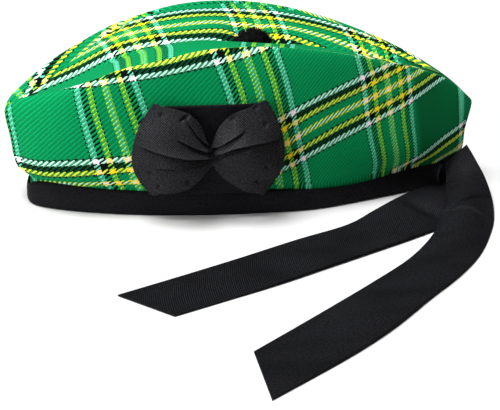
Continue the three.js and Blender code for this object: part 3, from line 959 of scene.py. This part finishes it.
def band_shares(t, travelled):
    """How far the fold stands out and how high it is, as parts of the full section.

    t is the section's number, less than 0 on the near side. The fold lies flatter and lower
    round the sharp front, a little higher just behind it on the near side, and lower again
    where the near side's foot turns in towards the back.
    """
    puff = 1 + 0.05 * np.sin(travelled / 9.0) * np.sin(travelled / 23.0)
    puff = puff - 0.5 * np.exp(-((t / 1.2) ** 2))
    low = 1 - 0.42 * np.exp(-((t / 1.4) ** 2)) - 0.22 * np.exp(-((t + 8.7) ** 2))
    low = low + 0.12 * np.exp(-(((t + 2.6) / 1.6) ** 2))
    return puff[:, None], low[:, None]


def band_roll():
    """The profile carried round the foot. At the ends its outside is cut back to a C."""
    end = section_at(BAND_END_X)
    t = np.linspace(-end, end, BAND_ALONG)
    turn = np.linspace(0, len(BAND_OUTSIDE) - 1, BAND_ROUND)
    path = foot_path(t)
    ahead = np.gradient(path, axis=0)
    ahead /= np.linalg.norm(ahead, axis=1, keepdims=True)
    out = np.stack([-ahead[:, 1], ahead[:, 0], 0 * t], -1)
    travelled = np.cumsum(np.linalg.norm(np.diff(path, axis=0, prepend=path[:1]), axis=1))
    to_end = np.minimum(travelled, travelled[-1] - travelled)
    near_end = np.clip(1 - to_end / 14, 0, 1) ** 2
    puff, low = band_shares(t, travelled)
    # The cut edge is turned over, which makes a small lip.
    lip = 1.4 * np.exp(-((to_end / 1.2) ** 2))
    layers = []
    for section in (BAND_OUTSIDE, BAND_INSIDE):
        shape = along(section, turn)
        cut_back = 5.0 * (np.abs(shape[:, 1] - 8) / 8) ** 2 - 1.5
        cut_back = np.where(shape[:, 0] > 0, cut_back, 5.5)
        points = path[:, None] + out[:, None] * (shape[:, 0] * puff)[..., None]
        points[..., 2] = np.maximum(shape[:, 1] * low, 0)
        points = points + ahead[:, None] * (np.sign(t) * near_end)[:, None, None] * cut_back[:, None]
        points = points + out[:, None] * (lip[:, None] * (shape[:, 0] > 2.0))[..., None]
        layers.append(points)
    outer, inner = layers
    threads = np.stack([travelled[:, None] + 0 * outer[..., 0], arc_length(outer, 1)], -1)
    print(f"band: {travelled[-1]:.0f} mm of ribbon, {arc_length(outer, 1).max():.0f} mm wide")
    return wall("band", outer, inner, threads, GROSGRAIN)


folded_band = band_roll()

# %% [markdown]
# ## The strap behind the open ends
#
# At the back seam the folded ribbon stops, and what shows between its two open ends is a flat
# strap of the same ribbon, sewn over the seam. Cutting it out of the side panel's own surface
# makes it hug the cloth with no gap, where a separate strip would have to be pressed on.

# %% Strap
STRAP_ALONG, STRAP_UP = 60, 16


def join(first, second):
    """Merges the second object's mesh into the first, as one object."""
    with bpy.context.temp_override(active_object=first, selected_editable_objects=[first, second]):
        bpy.ops.object.join()
    return first


def band_strap():
    """The ribbon behind the open ends: it hugs the foot of the back, seam and all.

    It is the side surface itself, let down to the floor and up to a top edge that climbs to the
    back seam, moved out by 1 mm. The near side runs backwards to the seam, the far side back.
    """
    u = np.linspace(section_at(BAND_END_X - 9), LAST, STRAP_ALONG)
    rows = along(SECTIONS, u)
    whole = side_surface(u, np.linspace(0, 3, 61))
    top = 15.5 + 8.0 * np.clip((rows[:, 0] - 124) / 18, 0, 1)
    height = 0.3 + (top[:, None] - 0.3) * np.linspace(0, 1, STRAP_UP)
    near = np.stack([
        np.stack([np.interp(level, line[:, 2], line[:, k]) for k in range(3)], -1)
        for level, line in zip(height, whole)
    ])
    near[..., 1] *= -1
    near[..., 2] = height
    far = near[::-1] * np.array([1, -1, 1])
    surface = np.concatenate([near, far[1:]])
    out = normals(surface)
    out = out * -np.sign(out[10, STRAP_UP // 2, 1])
    outer = surface + 1.0 * out
    inner = surface + 0.4 * out
    threads = np.stack([arc_length(outer, 0), arc_length(outer, 1)], -1)
    return wall("band_strap", outer, inner, threads, GROSGRAIN)


band = join(folded_band, band_strap())
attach(band, "root")
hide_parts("band")

# %% [markdown]
# ## The bow
#
# A flat bow is a wide ribbon folded to a loop on each side and pinched at the middle. From the
# pinch the cloth fans out in pleats that fade towards the fold. Cloth simulation can gather a
# ribbon, but the pleats land where they like. Here a loop is a fan surface: one parameter runs
# from the pinch to the fold and round behind it, the other from the lower to the upper edge.
# Each pleat is a step in the height that follows a line from the pinch.
#
# All of the bow is given as (along, up, out) from its pinch, and one function lays that on the
# panel.

# %% Where the bow lies on the panel
BOW_X, BOW_Z, BOW_STAND_OFF = -22.0, 45.0, 0.8
PER_SECTION = 20


def panel_half(x, z):
    """Half-width of the cap at places (x, z): a walk over the panel's parameters towards them.

    The walk uses a grid with 20 steps to a section, and mixes its last four neighbours.
    """
    u = np.full(x.shape, 6.0)
    v = np.full(x.shape, 3.0)
    across, up = LAST * PER_SECTION, SEAM_AT * PER_SECTION
    surface = side_surface(np.linspace(0, LAST, across + 1), np.linspace(0, SEAM_AT, up + 1))
    for _ in range(60):
        row = np.rint(u * PER_SECTION).astype(int)
        found = surface[row, np.rint(v * PER_SECTION).astype(int)]
        u = np.clip(u + (x - found[..., 0]) / 40, 0, LAST)
        v = np.clip(v + (z - found[..., 2]) / 60, 0, SEAM_AT - 0.2)
    low_u = np.clip(np.floor(u * PER_SECTION).astype(int), 0, across - 1)
    low_v = np.clip(np.floor(v * PER_SECTION).astype(int), 0, up - 1)
    part_u = u * PER_SECTION - low_u
    part_v = v * PER_SECTION - low_v
    half = surface[..., 1]
    lower = half[low_u, low_v] * (1 - part_u) + half[low_u + 1, low_v] * part_u
    upper = half[low_u, low_v + 1] * (1 - part_u) + half[low_u + 1, low_v + 1] * part_u
    return lower * (1 - part_v) + upper * part_v


def bow_place(a, c, n):
    """Bow coordinates to mm: a along the cap, c up, n out from the panel.

    The panel curves in above and below, and the bow spans that, so the ground is never more
    than 2.5 mm further in than the panel is 50 mm up.
    """
    x = BOW_X + a
    z = BOW_Z + c
    ground = np.maximum(panel_half(x, z), panel_half(x, np.full(x.shape, 50.0)) - 2.5)
    return np.stack([x, -(ground + BOW_STAND_OFF + n), z], -1)


print("panel half-width at the bow:", panel_half(np.array([BOW_X]), np.array([BOW_Z])).round(1))

# %% [markdown]
# ## The ribbon behind the bow
#
# Behind the loops a flat square of the band's cotton ribbon is tacked to the panel. It shows in
# the notches above and below the pinch, where it is the darkest part of the bow. It is a plain
# grid, laid on the panel by the same function as the loops.

# %% Bow backing
BACKING_HALF, BACKING_UP, BACKING_DOWN = 31.0, 33.0, 27.5


def bow_backing():
    """The flat ribbon behind the loops: a rectangle laid on the panel, two faces 0.8 mm apart."""
    a = np.linspace(-1, 1, 41)[:, None] * BACKING_HALF
    t = np.linspace(-1, 1, 41)[None, :]
    c = t * np.where(t > 0, BACKING_UP, BACKING_DOWN) + 0 * a
    a = a + 0 * t
    sag = 0.3 * np.sin(a / 7) * np.abs(t)
    outer = bow_place(a, c, 1.0 + sag)
    inner = bow_place(a, c, 0.2 + sag)
    piece = wall("bow_backing", outer, inner, np.stack([a, c], -1), GROSGRAIN)
    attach(piece, "root")
    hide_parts("bow_backing")


bow_backing()

# %% [markdown]
# ## The two loops
#
# The loop towards the front is larger and stands further out. Its fan opens from a pinch about
# as wide as a finger, its main crease runs level to the fold, and the cloth above that crease
# hangs over the cloth below. Small stitches near the corners pull dimples.

# %% Measures of the two loops
RIBBON = 0.6
# Along and up from the pinch, in mm. Corners in: how far the fold's corners fall back.
LOOPS = {
    # side, start, out, corners in: up and down, reach up and down, puff
    "bow_left_loop": (-1, -0.5, 51.5, 14.0, 12.5, 36.8, 26.3, 9.5),
    "bow_right_loop": (1, -2.5, 44.0, 11.6, 13.0, 36.6, 28.4, 8.5),
}
# Share of its full height that the fan has, at nine even places from the pinch to the fold.
FANS = {
    "bow_left_loop": np.array([
        # upper edge, lower edge
        [0.06, 0.20], [0.29, 0.41], [0.62, 0.62], [0.78, 0.78], [0.86, 0.86],
        [0.91, 0.90], [0.94, 0.92], [0.96, 0.94], [1.00, 1.00],
    ]),
    "bow_right_loop": np.array([
        [0.18, 0.17], [0.50, 0.37], [0.68, 0.55], [0.78, 0.65], [0.84, 0.75],
        [0.88, 0.84], [0.92, 0.90], [0.96, 0.94], [1.00, 1.00],
    ]),
}
print("loops reach", [measures[2] for measures in LOOPS.values()], "mm from the pinch")

# %% Creases and tacks
# Creases from the pinch outwards, as points in mm: (along, up). The cloth above a crease
# overlaps the cloth below it by the given depth, which fades over the last part.
CREASES = {
    # depth, line
    "bow_left_loop": [
        (5.6, [(0.0, -0.8), (-8.0, -1.6), (-17.0, -1.9), (-28.0, -0.4), (-38.0, 2.2), (-46.0, 5.4)]),
        (5.0, [(0.0, -2.6), (-3.0, -3.6), (-9.0, -6.0), (-17.0, -8.2), (-24.0, -9.4), (-36.0, -9.6)]),
        (2.6, [(0.0, 3.0), (-4.0, 3.2), (-10.0, 4.2), (-16.0, 6.4), (-24.0, 10.5)]),
        (2.6, [(0.0, 5.0), (-4.0, 7.4), (-8.0, 10.4), (-12.0, 15.0), (-16.0, 20.6), (-19.0, 26.0)]),
    ],
    "bow_right_loop": [
        (5.4, [(0.0, -1.0), (5.0, 2.0), (10.5, 4.2), (17.0, 5.2), (24.0, 5.6), (37.0, 6.8), (42.0, 7.4)]),
        (4.0, [(0.0, -3.2), (4.0, -2.4), (8.0, 0.0), (14.0, 1.0), (22.0, 1.2)]),
        (3.2, [(0.0, 4.4), (4.0, 6.8), (8.0, 9.4), (12.0, 11.4), (19.0, 15.2)]),
    ],
}
# Stitches that hold the loop down, as points in mm: (along, up).
TACKS = {
    "bow_left_loop": [(-32.5, 30.0), (-40.0, -8.0), (-34.5, -19.0), (-16.5, -16.5)],
    "bow_right_loop": [(26.0, 33.0), (31.5, 21.5), (11.5, 26.0), (32.5, -6.5), (27.0, -17.5)],
}


def overlap(above):
    """Height of a pleat across its crease, from the distance above it in mm.

    Above the crease the cloth stands 1 high and sinks back over 6 mm. Below it the cloth lies
    1.5 deep and comes back, first fast and then slowly. Between them it falls at once.
    """
    high = np.exp(-np.maximum(above, 0) / 6.0)
    low = -0.4 * np.exp(np.minimum(above, 0) / 5.0) - 1.1 * np.exp(np.minimum(above, 0) / 0.9)
    fall = 0.5 + 0.5 * np.tanh(above / 0.25)
    return low + (high - low) * fall


print("height across a crease, 4 mm below to 4 mm above:", overlap(np.linspace(-4, 4, 5)).round(2))

# %% Pleats, roll and tacks


def pleated(name, a, c, swell, upper_edge):
    """A loop's height with its creases, the roll of its upper edge and the dimples of its tacks.

    A crease is a line drawn through its points. Its overlap grows over the first 5 mm from the
    pinch and fades towards the crease's far end.
    """
    # From a little above, cloth that stands out is seen lower on the panel behind it. The
    # creases were measured on the panel, so each is raised by that part of the swell.
    lifted = 0.42 * swell
    for depth, line in CREASES[name]:
        far = np.abs(line[-1][0])
        order = sorted(line)
        crease = np.interp(a, [p[0] for p in order], [p[1] for p in order]) + lifted
        part = np.clip(np.abs(a) / far, 0, 1)
        fade = (1 - part**4) * np.clip(0.4 + np.abs(a) / 8, 0, 1)
        swell = swell + depth * fade * overlap(c - crease)
    if name == "bow_left_loop":
        # The upper edge near the pinch is rolled forwards, with a small hollow above the roll.
        roll = ((c - 0.72 * upper_edge) / 3.2) ** 2 + ((a + 9.0) / 9.0) ** 4
        hollow = ((a + 18.5) / 2.6) ** 2 + ((c - 28.0 - 0.5 * (a + 18.5)) / 1.3) ** 2
        swell = swell + 1.4 * np.exp(-roll) - 2.6 * np.exp(-hollow)
    for tack_a, tack_c in TACKS[name]:
        swell = swell - 1.5 * np.exp(-((a - tack_a) ** 2 + (c - tack_c) ** 2) / 2.2)
    return swell


print("creases and tacks:", {name: (len(CREASES[name]), len(TACKS[name])) for name in LOOPS})

# %% Bow loops
LOOP_OUT, LOOP_BACK, LOOP_ACROSS = 120, 18, 281


def bow_loop(name):
    """One loop as a fan: out from the pinch, round the fold, and back behind itself.

    Reach = out - corner_in * t^2. Height = t * reach_up_or_down * the fan's share. Distance
    from the panel = swell along the loop + pleats - tacks.
    """
    side, start, out, in_up, in_down, up, down, puff = LOOPS[name]
    s = np.concatenate([np.linspace(0, 1, LOOP_OUT), np.ones(LOOP_BACK)])[:, None]
    back = np.concatenate([np.zeros(LOOP_OUT), np.linspace(0, 1, LOOP_BACK + 1)[1:]])[:, None]
    t = np.linspace(-1, 1, LOOP_ACROSS)[None, :]
    high = t > 0
    fan = along(FANS[name], 8 * s[:, 0])
    reach = out - np.where(high, in_up, in_down) * t**2
    a = side * (start + (reach - start) * (s - 0.10 * back**2))
    c = t * np.where(high, up * fan[:, :1], down * fan[:, 1:]) * (1 - 0.06 * back**2)
    swell = 3.2 + puff * np.sin(0.86 * np.pi * s) * np.where(high, 1 - 0.45 * t**2, 1 + 0.55 * t)
    swell = pleated(name, a, c, swell, up * fan[:, :1])
    # A woven edge line shows 3 mm in from the right loop's fold, and both folds wave a little.
    selvedge = np.exp(-(((1 - s) * reach - 3.0) / 0.6) ** 2)
    swell = swell - 0.5 * selvedge * (side > 0)
    swell = swell + 0.35 * np.sin(9 * t + 5 * s) * s
    going_out = np.cos(back * np.pi / 2)
    n = np.maximum(swell, 1.8) * going_out + 1.6 * (1 - going_out)
    outer = bow_place(a, c, n)
    out_way = normals(outer)
    out_way = out_way * -np.sign(out_way[LOOP_OUT // 2, LOOP_ACROSS // 2, 1])
    inner = outer - RIBBON * out_way
    threads = np.stack([np.abs(a) + back * 6, c + 0 * a], -1)
    piece = wall(name, outer, inner, threads, SHEEN_PAINTED_BOW_GROSGRAIN)
    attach(piece, "root")
    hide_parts(name)


for loop_name in LOOPS:
    bow_loop(loop_name)

# %% [markdown]
# ## The two tails
#
# The band's ribbon ends leave the back of the cap, turn and lie on the floor. A ribbon bends
# easily along its length but hardly at all in its own plane, so where it turns it must
# lift, fold or crease. A cloth simulation would drop the ribbons somewhere else each time a
# value changed. Here each tail is a strip between its two edge lines, which are given in a
# short table, with an arch across it, and soft creases where the turn squeezes it. The last
# row's two edges end apart, which is the slanted cut.

# %% Edge lines and creases of the tails
LONG_TAIL = np.array([
    # left edge: x, y, z        right edge: x, y, z     arch
    [132.1, -9.5, 16.0, 146.8, -1.0, 25.5, 0.5],
    [132.0, -11.2, 9.0, 149.0, -6.0, 22.5, 1.5],
    [131.5, -15.3, 3.5, 152.2, -12.5, 17.0, 3.0],
    [129.2, -25.0, 2.4, 155.8, -20.5, 10.0, 4.5],
    [126.1, -38.0, 2.6, 157.2, -36.0, 3.8, 6.5],
    [121.6, -57.0, 3.0, 155.2, -56.0, 1.4, 7.0],
    [118.0, -71.0, 2.6, 149.8, -80.4, 0.8, 5.5],
    [108.3, -93.8, 1.2, 136.2, -117.6, 0.8, 2.5],
    [90.4, -122.8, 0.8, 118.0, -149.0, 1.9, 1.6],
    [64.6, -153.2, 0.8, 93.9, -181.2, 2.2, 0.2],
    [38.0, -182.5, 0.8, 67.0, -218.0, 2.4, 1.6],
    [10.0, -212.5, 0.8, 37.0, -252.0, 1.8, 0.2],
    [-16.0, -240.0, 0.8, -12.0, -300.0, 0.8, 0.0],
])
SHORT_TAIL = np.array([
    [142.0, -17.0, 0.8, 135.0, -5.0, 0.8, 0.0],
    [143.0, -38.0, 0.8, 128.0, -9.0, 0.8, 0.0],
    [135.0, -60.5, 0.8, 113.0, -22.0, 4.6, 3.0],
    [117.0, -78.0, 0.8, 99.5, -33.0, 4.8, 2.4],
    [98.0, -92.3, 2.2, 80.0, -48.0, 1.8, 2.6],
    [77.0, -106.3, 2.4, 60.0, -67.0, 0.8, 0.6],
    [45.0, -127.3, 2.4, 26.0, -87.0, 0.8, 1.6],
    [8.0, -151.3, 2.0, -12.0, -111.2, 0.8, 0.3],
    [-26.0, -171.0, 0.8, -47.4, -132.8, 0.8, 0.1],
    [-57.0, -188.8, 0.8, -88.5, -157.0, 0.8, 0.0],
])
# Creases: row and place across (0 left, 1 right) at both ends, half-width in mm, depth in mm.
LONG_CREASES = [
    (5.3, 0.02, 4.2, 0.98, 1.2, 2.6),
    (5.3, 0.02, 5.7, 0.98, 1.4, 2.6),
    (8.6, 0.0, 8.2, 1.0, 4.0, 1.0),
]
SHORT_CREASES = [
    (2.6, 0.0, 3.1, 1.0, 5.0, 3.4),
    (5.6, 0.0, 6.1, 1.0, 4.0, 1.4),
]
print("edge lines from", LONG_TAIL[0, :3], "and", SHORT_TAIL[0, :3], "mm")

# %% Tails
TAIL_THICKNESS = 0.7
TAIL_STEPS, TAIL_ACROSS = 26, 33


def tail(name, rows, creases):
    """A ribbon between two edge lines: mix of the edges + arch * sin(pi t) - creases."""
    place = np.linspace(0, len(rows) - 1, TAIL_STEPS * (len(rows) - 1) + 1)
    t = np.linspace(0, 1, TAIL_ACROSS)[None, :, None]
    row = along(rows, place)
    middle = row[:, None, 0:3] * (1 - t) + row[:, None, 3:6] * t
    lift = row[:, 6:7] * np.sin(np.pi * t[..., 0])
    width = np.linalg.norm(row[:, 3:6] - row[:, 0:3], axis=1)[:, None]
    travelled = arc_length(middle, 0)
    for row_a, t_a, row_b, t_b, half, depth in creases:
        across = np.clip((t[..., 0] - t_a) / (t_b - t_a), 0, 1)
        off = (place[:, None] - (row_a + (row_b - row_a) * across)) * width / 2.5
        lift = lift - depth * np.exp(-(off / half) ** 2) * np.sin(np.pi * t[..., 0])
    middle[..., 2] += lift
    up = normals(middle)
    # The free end lies flat, so there the normal has to point up.
    up = up * np.sign(up[-20, TAIL_ACROSS // 2, 2])
    outer = middle + up * TAIL_THICKNESS / 2
    inner = middle - up * TAIL_THICKNESS / 2
    lowest = np.minimum(outer[..., 2].min(), inner[..., 2].min())
    threads = np.stack([travelled, width * t[..., 0]], -1)
    piece = wall(name, outer, inner, threads, GROSGRAIN)
    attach(piece, "root")
    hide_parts(name)
    print(f"{name}: {travelled[-1].mean():.0f} mm along its middle, lowest point {lowest:.2f} mm")


tail("long_tail", LONG_TAIL, LONG_CREASES)
tail("short_tail", SHORT_TAIL, SHORT_CREASES)

# %% [markdown]
# ## Floor and light
#
# Product light is soft and plain, so that nothing distracts from the cloth.
# The cap stands on a plain pale floor. A lit ceiling does most of the lighting, so the ridges
# and the folds of the bow are bright on top, and a low window on the left draws out the
# swell of the front and lets the back fall into shade. A weak pale sky fills what is left.
# Area lamps would do, but their light falls off over the length of the cap. A sun with a wide
# angle stays even, and its shadows are as soft.

# %% Floor
FLOOR_HALF = 4000.0


def floor():
    """A wide plane of matt paper at z = 0."""
    material, tree, shader = new_material("matt_paper_floor")
    where = add(tree, "ShaderNodeTexCoord").outputs["Object"]
    tooth = add(tree, "ShaderNodeTexNoise", inputs={"Vector": where, "Scale": 400.0})
    tone = add(tree, "ShaderNodeMapRange", inputs={0: tooth.outputs[0], 3: 0.52, 4: 0.54})
    tree.links.new(tone.outputs[0], shader.inputs["Base Color"])
    shader.inputs["Roughness"].default_value = 0.9
    points = FLOOR_HALF * np.array([[-1, -1, 0], [1, -1, 0], [1, 1, 0], [-1, 1, 0]])
    plane = mesh_object("floor", points * MM, np.array([[0, 1, 2, 3]]), points[:, :2], material)


floor()

# %% Suns and sky
LAMPS = [
    # name, direction towards the light, strength, width in degrees
    ("window_on_the_left", (-0.85, -0.48, 0.22), 3.0, 30),
    ("ceiling", (-0.26, -0.13, 0.95), 6.2, 30),
]


def light():
    """Two wide suns and a weak pale sky. Colours are shown as they are, with no film curve."""
    for name, towards, strength, width in LAMPS:
        data = bpy.data.lights.new(name, "SUN")
        data.energy = strength
        data.angle = math.radians(width)
        lamp = bpy.data.objects.new(name, data)
        bpy.context.scene.collection.objects.link(lamp)
        lamp.rotation_euler = Vector(towards).to_track_quat("Z", "Y").to_euler()
    world = bpy.data.worlds.new("sky")
    bpy.context.scene.world = world
    world.use_nodes = True
    sky = world.node_tree.nodes["Background"]
    sky.inputs[0].default_value = linear("#F4F6FA")
    sky.inputs[1].default_value = 0.05
    bpy.context.scene.view_settings.view_transform = "Standard"


light()
